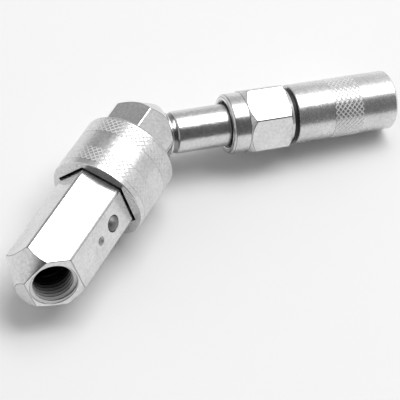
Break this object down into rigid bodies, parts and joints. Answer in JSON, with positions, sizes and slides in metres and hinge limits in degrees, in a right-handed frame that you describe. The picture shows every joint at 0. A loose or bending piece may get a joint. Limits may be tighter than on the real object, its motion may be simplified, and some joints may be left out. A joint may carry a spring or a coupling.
{
  "type": "swivel coupler",
  "caption": "Angled grease-gun swivel coupler: threaded hex elbow, knurled lock sleeve, turning head elbow with stem and jaw-type grease coupler.",
  "frame": {"origin": "centre of the inlet mouth, where the threaded hole meets the slanted face of the inlet elbow", "axes": "+X along the bar axis from the inlet elbow to the head elbow, +Z out of the inlet elbow's top flat; the stem and coupler leave the head towards +X -Y"},
  "size_m": [0.0967, 0.0595, 0.0221],
  "materials": {
    "plated_steel": "bright plated",
    "ball_steel": "polished hardened steel",
    "spring_steel": "drawn wire",
    "jaw_steel": "hardened, satin",
    "bronze": "turned",
    "black_rubber": "matte",
    "white_plastic": "matte"
  },
  "bodies": {
    "inlet": {"inlet_body": "plated_steel", "race_balls": "ball_steel", "race_plug": "jaw_steel", "thrust_washer": "bronze", "lock_sleeve_spring": "spring_steel", "stop_ball_spring": "spring_steel"},
    "sleeve": {"lock_sleeve": "plated_steel"},
    "stop": {"stop_ball": "ball_steel"},
    "head": {"swivel_head": "plated_steel", "spigot_o_ring": "black_rubber", "spigot_backup_ring": "white_plastic", "stem": "plated_steel", "coupler_body": "plated_steel", "check_spring": "spring_steel", "check_spring_retainer": "jaw_steel", "plunger_spring": "spring_steel"},
    "check": {"check_ball": "ball_steel"},
    "neck_ring": {"cap_neck_ring": "black_rubber"},
    "cap": {"jaw_cap": "plated_steel"},
    "plunger": {"plunger": "bronze", "plunger_seal": "black_rubber", "nose_seal": "black_rubber"},
    "jaw_a": {"jaw_1": "jaw_steel"},
    "jaw_b": {"jaw_2": "jaw_steel"},
    "jaw_c": {"jaw_3": "jaw_steel"}
  },
  "joints": [
    {"name": "sleeve_pull", "type": "slide", "parent": "inlet", "child": "sleeve", "axis": [-1, 0, 0], "range_m": [0, 0.0033], "stiffness_N_per_m": 1500, "springref_m": -0.002, "deforming": ["lock_sleeve_spring"]},
    {"name": "stop_ball_press", "type": "slide", "parent": "inlet", "child": "stop", "axis": [0, 0.866, -0.5], "range_m": [0, 0.0009], "stiffness_N_per_m": 1500, "springref_m": -0.0005, "deforming": ["stop_ball_spring"]},
    {"name": "head_swivel", "type": "hinge", "parent": "inlet", "child": "head", "pos_m": [0.03, 0.00349, -0.00202], "axis": [1, 0, 0], "continuous": true},
    {"name": "check_lift", "type": "slide", "parent": "head", "child": "check", "axis": [0.7071, -0.7071, 0], "range_m": [0, 0.0008], "stiffness_N_per_m": 200, "springref_m": -0.001, "deforming": ["check_spring"]},
    {"name": "cap_advance", "type": "slide", "parent": "head", "child": "neck_ring", "axis": [0.7071, -0.7071, 0], "range_m": [0, 0.003]},
    {"name": "cap_turn", "type": "hinge", "parent": "neck_ring", "child": "cap", "pos_m": [0.07979, -0.03186, -0.00202], "axis": [0.7071, -0.7071, 0], "range_deg": [0, 1084]},
    {"name": "plunger_press", "type": "slide", "parent": "neck_ring", "child": "plunger", "axis": [-0.7071, 0.7071, 0], "range_m": [0, 0.0019], "stiffness_N_per_m": 1500, "springref_m": -0.001, "deforming": ["plunger_spring"]},
    {"name": "jaw_1_spread", "type": "slide", "parent": "plunger", "child": "jaw_a", "axis": [-0.7071, -0.7071, 0], "range_m": [0, 0.000556]},
    {"name": "jaw_2_spread", "type": "slide", "parent": "plunger", "child": "jaw_b", "axis": [0.3536, 0.3536, -0.866], "range_m": [0, 0.000556]},
    {"name": "jaw_3_spread", "type": "slide", "parent": "plunger", "child": "jaw_c", "axis": [0.3536, 0.3536, 0.866], "range_m": [0, 0.000556]}
  ],
  "couplings": [
    {"joint": "cap_turn", "follows": "cap_advance", "rad_per_m": 6283.2},
    {"joint": "jaw_1_spread", "follows": "plunger_press", "ratio": 0.29231},
    {"joint": "jaw_2_spread", "follows": "plunger_press", "ratio": 0.29231},
    {"joint": "jaw_3_spread", "follows": "plunger_press", "ratio": 0.29231}
  ]
}
